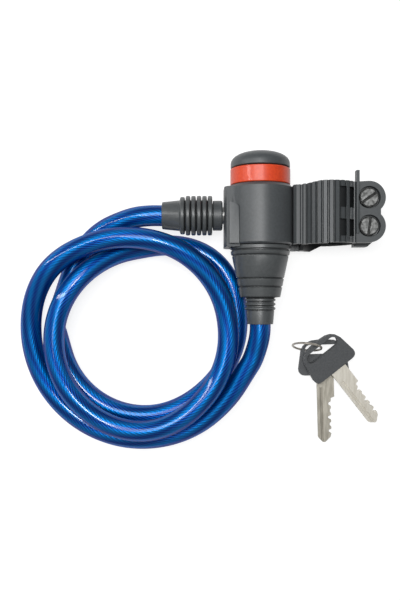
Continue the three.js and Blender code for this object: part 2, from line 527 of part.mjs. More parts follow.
const clampStrap = () => {
  // The ribbed ring: shallow grooves all round, by a loop of crests and valleys.
  const ribbed = new THREE.Shape()
  for (let index = 0; index < STRAP_RIBS; index += 1) {
    for (const [share, depth] of [[0, 0], [0.55, 0], [0.7, STRAP_RIB_DEPTH], [0.85, STRAP_RIB_DEPTH]]) {
      const angle = ((index + share) / STRAP_RIBS) * Math.PI * 2
      const radius = STRAP_RADIUS - depth
      const point = [STRAP_CENTRE + radius * Math.cos(angle), radius * Math.sin(angle)]
      if (index === 0 && share === 0) ribbed.moveTo(...point)
      else ribbed.lineTo(...point)
    }
  }
  let solid = pushedAlongY(ribbed, STRAP_BOTTOM[0], STRAP_TOP)
  // The base that holds the rail, faired into the ring.
  const baseFace = RAIL.root + RAIL_GAP
  const baseFoot = STRAP_CENTRE - BASE_REACH
  const fluteFloor = STRAP_BASE_HALF - BASE_FLUTE
  const beadEnd = baseFace + 2.8
  const ridge = baseFace + 4.4
  const upperEdge = [
    [baseFace, STRAP_BASE_HALF - BASE_CORNER], [baseFace + BASE_CORNER, STRAP_BASE_HALF],
    [beadEnd, STRAP_BASE_HALF], [beadEnd + EDGE * 2, fluteFloor], [ridge - EDGE, fluteFloor],
    [ridge, STRAP_BASE_HALF + EDGE], [ridge + 1, STRAP_BASE_HALF + EDGE],
    [ridge + 1 + EDGE, fluteFloor], [baseFoot, fluteFloor]
  ]
  const lowerEdge = upperEdge.map(([x, z]) => [x, -z]).reverse()
  const base = polygon([...upperEdge, ...lowerEdge])
  solid = solid.add(pushedAlongY(base, STRAP_BOTTOM[0], STRAP_TOP))
  // The two flanges, each with two round lobes.
  const outline = polygon([
    [FLANGE.start, LOBES[1] - FLANGE.lobe], [FLANGE.lobeX, LOBES[1] - FLANGE.lobe],
    [FLANGE.web, LOBES[1]], [FLANGE.web, LOBES[0]],
    [FLANGE.lobeX, LOBES[0] + FLANGE.lobe], [FLANGE.start, STRAP_TOP]
  ])
  for (const sign of [1, -1]) {
    const low = sign > 0 ? FLANGE.gap : -flangeTop
    solid = solid.add(pushed(outline, low, FLANGE.thickness))
    for (const lobe of LOBES) {
      solid = solid.add(alongZ(bar(FLANGE.lobe, low, low + FLANGE.thickness, 40))
        .translate([FLANGE.lobeX, lobe, 0]))
    }
  }
  const lip = polygon([
    [FLANGE_LIP.left, FLANGE_LIP.bottom], [FLANGE_LIP.right, FLANGE_LIP.bottom],
    [FLANGE_LIP.corner, LOBES[1] - BASE_REACH * 0.6], [FLANGE_LIP.corner, FLANGE_LIP.top],
    [FLANGE_LIP.left, FLANGE_LIP.top]
  ])
  solid = solid.add(pushed(lip, -flangeTop, FLANGE.thickness))
  // The thin fin that stands at the root of the upper flange.
  solid = solid.add(box([FIN.x - FIN.thickness / 2, FIN.bottom, FIN.low],
    [FIN.x + FIN.thickness / 2, FIN.top, FIN.high]))
  // The tube's way, the gap between the flanges and the slanted lower end.
  solid = solid.subtract(bar(strapInner, -PAST, PAST, 64).translate([STRAP_CENTRE, 0, 0]))
  solid = solid.subtract(flangeGap())
  const throughCut = (points) => pushed(polygon(points), -PAST, PAST * 2)
  const [deep, slant, root] = STRAP_LOWER_EDGE
  solid = solid.subtract(throughCut([
    [deep[0], -PAST], deep, slant, root, [root[0], FLANGE_LIP.bottom],
    [PAST, FLANGE_LIP.bottom], [PAST, -PAST]
  ]))
  solid = solid.subtract(box([root[0], -PAST, -FLANGE.gap], [PAST, LOBES[1] - FLANGE.lobe, PAST]))
  solid = solid.subtract(throughCut([
    [0, BASE_TOP], [RAIL.neck, BASE_TOP], [STRAP_CENTRE - BASE_REACH / 2, STRAP_TOP],
    [STRAP_CENTRE - BASE_REACH / 2, PAST], [0, PAST]
  ]))
  solid = solid.subtract(pushedAlongX([
    [-PAST, -PAST], [STRAP_BOTTOM[0], -PAST], [STRAP_BOTTOM[0], -FLANGE.gap],
    [STRAP_BOTTOM[1], FLANGE.gap], [STRAP_BOTTOM[1], PAST], [-PAST, PAST]
  ], 0, FLANGE_LIP.left))
  const pocketFloor = bar(strapInner + POCKET_WALL, -PAST, PAST, 64).translate([STRAP_CENTRE, 0, 0])
  for (const [left, right] of POCKETS) {
    for (const [low, high] of POCKET_ROWS) {
      solid = solid.subtract(box([left, low, FLANGE.gap], [right, high, PAST]).subtract(pocketFloor))
    }
  }
  // The slot of the rail, open at its lower end.
  const slotTop = RAIL.half + RAIL_GAP
  solid = solid.subtract(box([0, -PAST, -RAIL.neckHalf - RAIL_GAP],
    [RAIL.neck, slotTop, RAIL.neckHalf + RAIL_GAP]))
  solid = solid.subtract(box([RAIL.neck - RAIL_GAP, -PAST, -RAIL.headHalf - RAIL_GAP],
    [RAIL.head + RAIL_GAP, slotTop, RAIL.headHalf + RAIL_GAP]))
  // The screws' recesses and holes, and the nuts' pockets.
  for (const lobe of LOBES) {
    const at = [FLANGE.lobeX, lobe, 0]
    const drill = (radius, low, high, segments) => alongZ(bar(radius, low, high, segments)).translate(at)
    solid = solid.subtract(drill(SCREW.shank + SEAT_GAP, -PAST, PAST, 24))
    solid = solid.subtract(drill(SCREW.recess, recessFloor, PAST, 32))
    solid = solid.subtract(drill(nutRadius + SEAT_GAP, -PAST, -flangeTop + NUT.height, 6))
  }
  return solid
}

const clampLiner = () => {
  const bottom = STRAP_LOWER_EDGE[2][1] + LINER_SET_BACK
  const top = BASE_TOP
  const tube = ring(linerInner + LINER_WALL, linerInner, bottom, top, 64).translate([STRAP_CENTRE, 0, 0])
  return tube.subtract(flangeGap())
}

const headUnder = recessFloor + SEAT_GAP

const screw = (lobe, slotAngle) => {
  const tip = -flangeTop + SEAT_GAP
  const top = headUnder + SCREW.headHeight
  const profile = [
    [0, tip], [SCREW.shank - EDGE, tip], [SCREW.shank, tip + EDGE], [SCREW.shank, headUnder],
    [SCREW.head, headUnder], [SCREW.head, top - EDGE * 2], [SCREW.head - EDGE * 2, top], [0, top]
  ]
  const slot = box([-SCREW.head - 1, top - SCREW.slotDepth, -SCREW.slot / 2],
    [SCREW.head + 1, top + 1, SCREW.slot / 2]).rotate([0, slotAngle, 0])
  return alongZ(turned(profile, 32).subtract(slot)).translate([FLANGE.lobeX, lobe, 0])
}

const nut = (lobe) => {
  const low = -flangeTop + SEAT_GAP
  const high = -flangeTop + NUT.height - SEAT_GAP
  const solid = bar(nutRadius, low, high, 6)
    .subtract(bar(SCREW.shank + SEAT_GAP / 2, low - 1, high + 1, 24))
  return alongZ(solid).translate([FLANGE.lobeX, lobe, 0])
}

// ---------------------------------------------------------------- keys

// A key is drawn flat: its blade runs towards -Y from the head's edge, and Z is its thickness.
const bladeLeft = -KEY.cutWidth / 2 - 0.2
const bladeRight = bladeLeft + KEY.cutWidth
const shoulderRight = bladeLeft + KEY.shoulderWidth

const keyBlade = () => {
  const tip = -KEY.bladeLength
  const blade = new THREE.Shape()
  blade.moveTo(bladeLeft, KEY.tangTop)
  blade.lineTo(bladeLeft, tip + KEY.tipSlant)
  blade.lineTo(bladeLeft + KEY.tipLeft, tip)
  blade.lineTo(bladeLeft + KEY.tipRight, tip)
  blade.lineTo(bladeRight - EDGE * 2, tip + KEY.tipSlant)
  const cuts = KEY_CUTS.map((depth, index) => [-KEY_CUT_START - index * KEY_CUT_PITCH, depth]).reverse()
  for (const [y, depth] of cuts) {
    blade.lineTo(bladeRight, y - KEY_CUT.mouthHalf)
    blade.lineTo(bladeRight - depth, y - KEY_CUT.floorHalf)
    blade.lineTo(bladeRight - depth, y + KEY_CUT.floorHalf)
    blade.lineTo(bladeRight, y + KEY_CUT.mouthHalf)
  }
  blade.lineTo(bladeRight, -KEY.shoulderLength - EDGE * 2)
  blade.lineTo(shoulderRight, -KEY.shoulderLength)
  blade.lineTo(shoulderRight, KEY.tangTop)
  const grooveLeft = bladeLeft + KEY_GROOVE.inset
  const groove = box([grooveLeft, tip - 1, KEY.thickness / 2 - KEY_GROOVE.depth],
    [grooveLeft + KEY_GROOVE.width, -KEY_GROOVE.start, KEY.thickness])
  return pushed(blade, -KEY.thickness / 2, KEY.thickness).subtract(groove)
}

// The flat head with its wide lower part, its round top and the slot for the ring.
const keyHead = () => {
  const { headHalf, headTop, headTopHalf, headSide, headSideHalf, headBottom } = KEY
  const head = new THREE.Shape()
  head.moveTo(-headHalf + HEAD_CORNER, headBottom)
  head.lineTo(headHalf - HEAD_CORNER, headBottom)
  head.quadraticCurveTo(headHalf, headBottom, headHalf, headBottom + HEAD_CORNER)
  head.lineTo(headSideHalf, headSide)
  head.quadraticCurveTo(headSideHalf - HEAD_CORNER / 2, headTop, headTopHalf, headTop)
  head.lineTo(-headTopHalf, headTop)
  head.quadraticCurveTo(-headSideHalf + HEAD_CORNER / 2, headTop, -headSideHalf, headSide)
  head.lineTo(-headHalf, headBottom + HEAD_CORNER)
  head.quadraticCurveTo(-headHalf, headBottom, -headHalf + HEAD_CORNER, headBottom)
  const plate = pushed(head, -KEY.headThickness / 2, KEY.headThickness, 4)
  const slot = new THREE.Shape()
  const half = KEY.slotHalf - KEY.slotHalfWidth
  slot.moveTo(-half, KEY.slotY - KEY.slotHalfWidth)
  slot.lineTo(half, KEY.slotY - KEY.slotHalfWidth)
  slot.absarc(half, KEY.slotY, KEY.slotHalfWidth, -Math.PI / 2, Math.PI / 2, false)
  slot.lineTo(-half, KEY.slotY + KEY.slotHalfWidth)
  slot.absarc(-half, KEY.slotY, KEY.slotHalfWidth, Math.PI / 2, Math.PI * 1.5, false)
  // The pocket that the blade's tang is moulded into.
  const tang = box([bladeLeft - SEAT_GAP, -1, -KEY.thickness / 2 - SEAT_GAP],
    [shoulderRight + SEAT_GAP, KEY.tangTop + SEAT_GAP, KEY.thickness / 2 + SEAT_GAP])
  return plate.subtract(pushed(slot, -KEY.headThickness, KEY.headThickness * 2, 6)).subtract(tang)
}

const laidKey = (name, place) => {
  const holder = new THREE.Group()
  const tilt = new THREE.Group()
  holder.position.set(place.x, place.y, place.height)
  holder.rotation.z = THREE.MathUtils.degToRad(place.turn)
  tilt.rotation.x = THREE.MathUtils.degToRad(place.slope)
  for (const [part, solid, finish] of [['blade', keyBlade(), 'nickel'], ['head', keyHead(), 'keyHead']]) {
    const mesh = new THREE.Mesh(toGeometry(solid), materials[finish])
    mesh.name = `${name}_${part}`
    tilt.add(mesh)
  }
  holder.add(tilt)
  group.add(holder)
}

const keyRing = () => {
  const circle = new THREE.TorusGeometry(RING.radius, RING.wire, 8, 40)
  const mesh = new THREE.Mesh(toGeometry(toSolid(circle)), materials.steel)
  mesh.name = 'key_ring'
  const holder = new THREE.Group()
  const lift = RING.radius * Math.sin(THREE.MathUtils.degToRad(RING.tilt)) + RING.wire
  holder.position.set(RING.x, RING.y, lift)
  holder.rotation.z = THREE.MathUtils.degToRad(RING.turn)
  mesh.rotation.x = THREE.MathUtils.degToRad(RING.tilt)
  holder.add(mesh)
  group.add(holder)
}

// ---------------------------------------------------------------- cable

// A smooth curve through stations: cubic pieces whose slope at a station is that of the chord
// between its two neighbours. Each station is [parameter, value, value, ...].
const smooth = (stations, at) => {
  const last = stations.length - 1
  let index = 0
  while (index < last - 1 && at > stations[index + 1][0]) index += 1
  const slope = (k, column) => {
    const low = stations[Math.max(k - 1, 0)]
    const high = stations[Math.min(k + 1, last)]
    return (high[column] - low[column]) / (high[0] - low[0])
  }
  const [from, to] = [stations[index], stations[index + 1]]
  const span = to[0] - from[0]
  const u = (at - from[0]) / span
  return from.slice(1).map((_, k) => {
    const column = k + 1
    const leaving = (u ** 3 - 2 * u ** 2 + u) * span * slope(index, column)
    const arriving = (u ** 3 - u ** 2) * span * slope(index + 1, column)
    const share = 3 * u ** 2 - 2 * u ** 3
    return (1 - share) * from[column] + leaving + share * to[column] + arriving
  })
}

const coilPoint = (degrees) => {
  const [radius, height] = smooth(COIL_STATIONS, degrees)
  const angle = THREE.MathUtils.degToRad(degrees)
  const [x, y] = COIL_CENTRE
  return new THREE.Vector3(x + radius * Math.cos(angle), y - radius * Math.sin(angle), height)
}

const coilLine = () => {
  const first = COIL_STATIONS[0][0]
  const lastAngle = COIL_STATIONS.at(-1)[0]
  const step = 360 / COIL_STEPS
  const points = []
  for (let degrees = first; degrees <= lastAngle + 1e-6; degrees += step) points.push(coilPoint(degrees))
  // Each end runs straight on for one diameter, in the way that the curve has there.
  const straight = (end, near) => end.clone().add(end.clone().sub(near).setLength(CABLE_RADIUS * 2))
  const start = straight(points[0], coilPoint(first + 1))
  const end = straight(points.at(-1), coilPoint(lastAngle - 1))
  return [start, ...points, end]
}

// A closed tube along a line of points, its rings square to the line, turned so that one
// corner of each ring points down. The two ends face the given ways.
const tube = (points, radius, sides, startWay, endWay) => {
  const positions = []
  const up = new THREE.Vector3(0, 0, 1)
  points.forEach((point, index) => {
    const before = points[Math.max(index - 1, 0)]
    const after = points[Math.min(index + 1, points.length - 1)]
    let ahead = after.clone().sub(before).normalize()
    if (index === 0) ahead = startWay
    if (index === points.length - 1) ahead = endWay
    const side = new THREE.Vector3().crossVectors(ahead, up).normalize()
    const above = new THREE.Vector3().crossVectors(side, ahead)
    for (let k = 0; k < sides; k += 1) {
      const angle = (k / sides) * Math.PI * 2
      const corner = point.clone()
        .addScaledVector(above, radius * Math.cos(angle))
        .addScaledVector(side, radius * Math.sin(angle))
      positions.push(corner.x, corner.y, corner.z)
    }
  })
  const indices = []
  const rings = points.length
  for (let r = 0; r < rings - 1; r += 1) {
    for (let k = 0; k < sides; k += 1) {
      const a = r * sides + k
      const b = r * sides + (k + 1) % sides
      indices.push(a, b, a + sides, b, b + sides, a + sides)
    }
  }
  for (let k = 1; k < sides - 1; k += 1) {
    indices.push(0, k + 1, k)
    const end = (rings - 1) * sides
    indices.push(end, end + k, end + k + 1)
  }
  const geometry = new THREE.BufferGeometry()
  geometry.setAttribute('position', new THREE.Float32BufferAttribute(positions, 3))
  geometry.setIndex(indices)
  return geometry
}

// A free stretch: a smooth line through points given by hand.
const stretch = (points, step = CABLE_RADIUS) => {
  const curve = new THREE.CatmullRomCurve3(points, false, 'centripetal')
  return curve.getSpacedPoints(Math.ceil(curve.getLength() / step))
}

const vectors = (list) => list.map(([x, y, z]) => new THREE.Vector3(x, y, z))

const cable = () => {
  const coil = coilLine()
  const coilStartWay = coil[1].clone().sub(coil[0]).normalize()
  const coilEndWay = coil.at(-1).clone().sub(coil.at(-2)).normalize()
  const tailWay = new THREE.Vector3(0, -1, 0)
  const plugWay = new THREE.Vector3(1, 0, 0)
  const tailStart = new THREE.Vector3(0, BOOT_END - SEAT_GAP, AXIS_HEIGHT)
  const tailEnd = coil[0].clone().addScaledVector(coilStartWay, -SEAT_GAP)
  const leadStart = coil.at(-1).clone().addScaledVector(coilEndWay, SEAT_GAP)
  const leadEnd = new THREE.Vector3(PLUG.left - SEAT_GAP, 0, AXIS_HEIGHT)
  const straight = CABLE_RADIUS / 2
  const tail = stretch([
    tailStart, tailStart.clone().addScaledVector(tailWay, straight), ...vectors(TAIL_ROUTE),
    tailEnd.clone().addScaledVector(coilStartWay, -straight), tailEnd
  ])
  const lead = stretch([
    leadStart, leadStart.clone().addScaledVector(coilEndWay, straight), ...vectors(LEAD_ROUTE),
    leadEnd.clone().addScaledVector(plugWay, -straight * 2), leadEnd
  ])
  const pieces = [
    ['cable_tail', tail, STRETCH_SIDES, tailWay, coilStartWay],
    ['cable_coil', coil, COIL_SIDES, coilStartWay, coilEndWay],
    ['cable_lead', lead, STRETCH_SIDES, coilEndWay, plugWay]
  ]
  for (const [name, line, sides, startWay, endWay] of pieces) {
    const mesh = new THREE.Mesh(tube(line, CABLE_RADIUS, sides, startWay, endWay), materials.cable)
    mesh.name = name
    group.add(mesh)
  }
  reportCable(tail, coil, lead)
}

// The cable's whole length, and the least gap between passes of the coil, on points.
const reportCable = (tail, coil, lead) => {
  const lengthOf = (line) => line.slice(1)
    .reduce((sum, point, index) => sum + point.distanceTo(line[index]), 0)
  const fine = new THREE.CatmullRomCurve3(coil).getSpacedPoints(600)
  const skip = Math.ceil((CABLE_RADIUS * 8) / (lengthOf(coil) / 600))
  let least = Infinity
  for (let a = 0; a < fine.length; a += 1) {
    for (let b = a + skip; b < fine.length; b += 1) {
      least = Math.min(least, fine[a].distanceTo(fine[b]))
    }
  }
  const lengths = [tail, coil, lead].map((line) => lengthOf(line).toFixed(1))
  console.log(`tail, coil and lead: ${lengths.join(', ')} mm`)
  console.log(`least gap of the coil to itself ${(least - CABLE_RADIUS * 2).toFixed(2)} mm`)
}

// ---------------------------------------------------------------- assembly

add('lock_housing', lockHousing(), 'housing')
add('end_plate', endPlate(), 'steel')
add('red_band', redBand(), 'band')
add('key_cover', keyCover(), 'housing')
add('cylinder_case', cylinderCase(), 'brass')
add('key_plug', keyPlug(), 'brass')
waferHeights.forEach((height, index) => add(`wafer_${index + 1}`, wafer(height, KEY_CUTS[index]), 'brass'))
add('drive_cam', driveCam(), 'steel')
add('latch_bolt', latchBolt(), 'steel')
add('tail_boot', tailBoot(), 'rubber')
add('tail_crimp', tailCrimp(), 'steel')
add('tail_cable_end', tailCableEnd(), 'cable')
add('plug_boot', plugBoot(), 'rubber')
add('plug_collar', plugCollar(), 'housing')
add('plug_pin', plugPin(), 'steel')
add('plug_crimp', plugCrimp(), 'steel')
add('plug_cable_end', plugCableEnd(), 'cable')
add('clamp_strap', clampStrap(), 'housing')
add('clamp_liner', clampLiner(), 'rubber')
LOBES.forEach((lobe, index) => {
  const side = index === 0 ? 'upper' : 'lower'
  add(`screw_${side}`, screw(lobe, SCREW_SLOT_ANGLES[index]), 'steel')
  add(`nut_${side}`, nut(lobe), 'steel')
})
laidKey('key_a', KEY_A)
laidKey('key_b', KEY_B)
keyRing()
cable()

export default group
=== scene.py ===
# %% [markdown]
# # A coiled cable lock, dressed in Blender
#
# The CAD model is the frame: it says where each piece is and how it moves. Here the same lock
# gets its looks: a blue sheathed cable with its twisted strands, moulded plastic, a red band,
# steel screws and two keys on a ring. The scene is in metres, so a length that is written in
# millimetres is multiplied by MM.

import math

import bmesh
import bpy
import numpy as np
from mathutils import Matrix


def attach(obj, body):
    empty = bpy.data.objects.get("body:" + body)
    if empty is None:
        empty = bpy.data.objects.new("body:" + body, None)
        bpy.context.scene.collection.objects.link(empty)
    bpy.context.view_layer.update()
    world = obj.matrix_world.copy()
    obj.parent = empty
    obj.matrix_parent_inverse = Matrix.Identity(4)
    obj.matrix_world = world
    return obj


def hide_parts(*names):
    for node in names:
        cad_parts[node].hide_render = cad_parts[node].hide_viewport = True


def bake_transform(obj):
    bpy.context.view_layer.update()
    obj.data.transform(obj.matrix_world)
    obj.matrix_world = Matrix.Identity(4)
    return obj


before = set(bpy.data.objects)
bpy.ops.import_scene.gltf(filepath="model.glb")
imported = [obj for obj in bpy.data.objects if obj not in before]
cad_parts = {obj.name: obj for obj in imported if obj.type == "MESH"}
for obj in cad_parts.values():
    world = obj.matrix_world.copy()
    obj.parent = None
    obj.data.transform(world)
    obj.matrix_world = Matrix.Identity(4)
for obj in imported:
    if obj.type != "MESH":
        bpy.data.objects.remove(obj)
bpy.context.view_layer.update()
MM = 0.001
print("nodes in the frame:", len(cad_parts))

# %% [markdown]
# ## Camera
#
# The lock lies on a white table and is seen from straight above. From very far away every piece
# would show at one scale. This camera hangs 350 mm over the table, so that higher pieces look
# slightly larger, as they do to the eye.

# %% Camera
CAMERA_AT = (-28.8 * MM, -40.3 * MM, 350 * MM)
LENS, SENSOR = 42, 36  # in millimetres, as camera makers give them
camera_data = bpy.data.cameras.new("camera")
camera_data.lens = LENS
camera_data.sensor_width = SENSOR
camera_data.clip_start = 0.01
camera = bpy.data.objects.new("camera", camera_data)
camera.location = CAMERA_AT
bpy.context.scene.collection.objects.link(camera)
bpy.context.scene.camera = camera
print("the picture's long side spans", round(CAMERA_AT[2] * SENSOR / LENS, 3), "m of the table")

# %% [markdown]
# ## Curves through points
#
# A steel cable lies in long even bends. Blender's own curves could draw them by hand. Here a
# cubic joins each point to the next: it needs only a value and a slope at both ends, it serves
# for radii and heights as well as for places, and its points also tell how long the cable is.

# %% Cubics between stations
def hermite(u, start, start_slope, end, end_slope):
    """A cubic that starts and ends at given values with given slopes; u runs from 0 to 1."""
    u2, u3 = u * u, u * u * u
    return ((2 * u3 - 3 * u2 + 1) * start + (u3 - 2 * u2 + u) * start_slope
            + (3 * u2 - 2 * u3) * end + (u3 - u2) * end_slope)


def through_stations(stations, at):
    """Cubic pieces whose slope at a station is the slope between its two neighbours."""
    knots, values = stations[:, 0], stations[:, 1:]
    after = np.minimum(np.arange(len(knots)) + 1, len(knots) - 1)
    before = np.maximum(np.arange(len(knots)) - 1, 0)
    slopes = (values[after] - values[before]) / (knots[after] - knots[before])[:, None]
    piece = np.clip(np.searchsorted(knots, at) - 1, 0, len(knots) - 2)
    span = (knots[piece + 1] - knots[piece])[:, None]
    u = (at[:, None] - knots[piece][:, None]) / span
    start, start_slope = values[piece], slopes[piece] * span
    end, end_slope = values[piece + 1], slopes[piece + 1] * span
    return hermite(u, start, start_slope, end, end_slope)


print("halfway along a cubic from 0 to 1:", hermite(0.5, 0, 0, 1, 0))

# %% A line through points in space
POINTS_PER_STRETCH = 40


def through_points(points):
    """A line through points: the slope at each weighs its neighbours by the root of their
    distance, so that the line doesn't swing out where two points lie close together."""
    before_first, after_last = 2 * points[0] - points[1], 2 * points[-1] - points[-2]
    p = np.concatenate([[before_first], points, [after_last]])
    step = np.sqrt(np.linalg.norm(np.diff(p, axis=0), axis=1))[:, None]
    lean = np.diff(p, axis=0) / step
    across = (p[2:] - p[:-2]) / (step[1:] + step[:-1])
    slope = lean[:-1] - across + lean[1:]
    u = np.linspace(0, 1, POINTS_PER_STRETCH, endpoint=False)[:, None, None]
    own = step[1:-1]
    line = hermite(u, points[:-1], slope[:-1] * own, points[1:], slope[1:] * own)
    return np.concatenate([line.transpose(1, 0, 2).reshape(-1, 3), points[-1:]])


print("a line through 3 points has", len(through_points(np.eye(3))), "points")

# %% Lengths and directions
def length_along(line):
    """The length of the line up to each of its points."""
    return np.concatenate([[0], np.cumsum(np.linalg.norm(np.diff(line, axis=0), axis=1))])


def evenly(line, step):
    """The same line with points a fixed length apart."""
    along = length_along(line)
    at = np.linspace(0, along[-1], int(round(along[-1] / step)) + 1)
    return np.stack([np.interp(at, along, line[:, axis]) for axis in range(3)], axis=1)


def unit(vector):
    """The vector divided by its length."""
    return vector / np.linalg.norm(vector)


print("a step of 3 across and 4 up has length", length_along(np.array([[0, 0], [3, 4]]))[-1])

# %% [markdown]
# ## The cable's route
#
# The cable leaves the long boot under the lock, lies in two and a bit turns, and comes back to
# the plug. A spiral would be simpler, but a coil laid by hand is never a true circle. So the
# turns go through stations of angle, radius and height, and the two free ends through listed
# points. The heights let each turn rest on those below without touching them.

# %% The coil
COIL_CENTRE = (-55.9, -55)
COIL_STATIONS = np.array([  # angle clockwise from +X, radius, height: degrees and millimetres
    [30, 52.2, 11.5], [45, 52.1, 9.6], [60, 52.6, 7.7], [90, 53.4, 5.8], [135, 54.6, 5],
    [180, 55.5, 7.6], [200, 54.9, 12.4], [215, 53.2, 16.2], [240, 48, 19.4], [270, 43.6, 21.6],
    [300, 41.6, 20], [330, 40.6, 16.8], [360, 40.6, 15.7], [405, 43.3, 15.8], [450, 47.9, 15.5],
    [495, 46, 15.7], [540, 42.4, 15.8], [580, 39.6, 14.6], [610, 39.4, 8.6], [630, 40.4, 5.6],
    [675, 48, 5], [720, 45.4, 5], [765, 42, 5], [810, 42.1, 5], [855, 42.1, 5], [885, 42.2, 5],
])
COIL_STEP = 3.0  # degrees from one point to the next


def coil_line(degrees):
    """Points at those angles: the centre, plus the radius turned clockwise, at the station's
    height."""
    radius, height = through_stations(COIL_STATIONS, degrees).T
    angle = np.radians(degrees)
    x = COIL_CENTRE[0] + radius * np.cos(angle)
    y = COIL_CENTRE[1] - radius * np.sin(angle)
    return np.stack([x, y, height], axis=1)


first, last = COIL_STATIONS[0, 0], COIL_STATIONS[-1, 0]
coil = coil_line(np.arange(first, last + 1, COIL_STEP))
coil_ends = coil_line(np.array([first, first + 1, last - 1, last]))
coil_start_way = unit(coil_ends[1] - coil_ends[0])
coil_end_way = unit(coil_ends[3] - coil_ends[2])
print("the coil turns through", last - first, "degrees")

# %% The two free stretches
TAIL_EXIT = np.array([0, -51.8, 15.09])
TAIL_ROUTE = np.array([[0, -54.6, 15.09], [-0.6, -59.3, 14.8], [-2.5, -66.2, 13.7]])
LEAD_ROUTE = np.array([
    [-95.3, -37.2, 5.1], [-89.9, -22.6, 5.3], [-83, -12.4, 6.8], [-75.5, -6.4, 9.4],
    [-66.5, -2.6, 12.4], [-59, -0.6, 14.4], [-52.2, 0, 15.09],
])
PLUG_END = np.array([-46.9, 0, 15.09])
STRAIGHT = 10  # each end of the coil runs straight for one diameter
HELD = 2.8  # and what follows keeps the same direction for this much more
CABLE_STEP = 1.5  # millimetres from one ring of the tube to the next

coil_start = coil[0] - coil_start_way * STRAIGHT
coil_end = coil[-1] + coil_end_way * STRAIGHT
into_coil = [coil_start - HELD * coil_start_way, coil_start]
out_of_coil = [coil_end, coil_end + HELD * coil_end_way]
tail = through_points(np.concatenate([[TAIL_EXIT], TAIL_ROUTE, into_coil]))
lead = through_points(np.concatenate([out_of_coil, LEAD_ROUTE, [PLUG_END]]))
cable_path = evenly(np.concatenate([tail, coil, [coil_end]]), CABLE_STEP) * MM
lead_path = evenly(lead, CABLE_STEP) * MM
CABLE_LENGTH = length_along(cable_path)[-1]

# %% [markdown]
# ## Grids and tubes
#
# The sheath is a round hose drawn over the strands. A curve with a bevel would make it in one
# step, but then no face would know how far along the cable it lies, and the strands' pattern
# needs that. So the tube is a grid: one row for each point of the route, square to the line,
# and one column for each point round it.

# %% Grids into meshes
def add_piece(name, vertices, faces, material):
    """A smooth mesh from arrays, painted in one material."""
    mesh = bpy.data.meshes.new(name)
    mesh.from_pydata(vertices.reshape(-1, 3).tolist(), [], faces)
    mesh.shade_smooth()
    mesh.update()
    piece = bpy.data.objects.new(name, mesh)
    bpy.context.scene.collection.objects.link(piece)
    piece.data.materials.append(material)
    return piece


def grid_faces(rows, columns):
    """Quads between neighbouring rows of a grid whose columns close on themselves."""
    row, column = np.meshgrid(np.arange(rows - 1), np.arange(columns), indexing="ij")
    beside = (column + 1) % columns
    corners = [row * columns + column, row * columns + beside,
               (row + 1) * columns + beside, (row + 1) * columns + column]
    return np.stack(corners, axis=-1).reshape(-1, 4)


print("faces between 3 rings of 8 points:", len(grid_faces(3, 8)))

# %% A tube along a path
CABLE_RADIUS = 5 * MM
CABLE_SIDES = 32


def tube_grid(path, start_way, end_way):
    """Each ring is the path's point plus the radius times two directions square to the path."""
    ahead = np.gradient(path, axis=0)
    ahead[0], ahead[-1] = start_way, end_way
    ahead /= np.linalg.norm(ahead, axis=1)[:, None]
    side = np.cross(ahead, [0, 0, 1])
    side /= np.linalg.norm(side, axis=1)[:, None]
    above = np.cross(side, ahead)
    angle = np.linspace(0, 2 * np.pi, CABLE_SIDES, endpoint=False)[None, :, None]
    around = np.cos(angle) * above[:, None] + np.sin(angle) * side[:, None]
    return path[:, None] + CABLE_RADIUS * around


print("rings of the cable and the lead:", len(cable_path), len(lead_path))

# %% [markdown]
# ## Finishes
#
# The lock is moulded nylon and rubber, with plated steel and a little brass. A scan of each
# surface could colour it. One Principled shader for each finish, with fine noise on Object
# coordinates, gives the same soft grain at any distance, and every number in it can be changed.

# %% A plain finish
def linear(code):
    """A screen colour such as 0x4c4f50, as the linear colour that a shader takes: each share of
    255 goes to the power of 2.4, but for a straight start next to black."""
    share = np.array([(code >> shift & 255) / 255 for shift in (16, 8, 0)])
    straight = np.where(share <= 0.04045, share / 12.92, ((share + 0.055) / 1.055) ** 2.4)
    return (*straight.tolist(), 1.0)


def finish(name, code, roughness, metallic=0.0, coat=0.0):
    """A new material with its shader, and the two things that later cells wire together."""
    material = bpy.data.materials.new(name)
    material.use_nodes = True
    shader = material.node_tree.nodes["Principled BSDF"]
    shader.inputs["Base Color"].default_value = linear(code)
    shader.inputs["Roughness"].default_value = roughness
    shader.inputs["Metallic"].default_value = metallic
    shader.inputs["Coat Weight"].default_value = coat
    shader.inputs["Coat Roughness"].default_value = 0.04
    return material, material.node_tree, shader


print("half white on a screen is", round(linear(0x808080)[0], 3), "to a shader")

# %% A finish with a grain
GRAIN_HEIGHT = 0.05 * MM
GRAIN_FROM, GRAIN_TO = 0.35, 0.65  # the part of the noise that the two colours share out


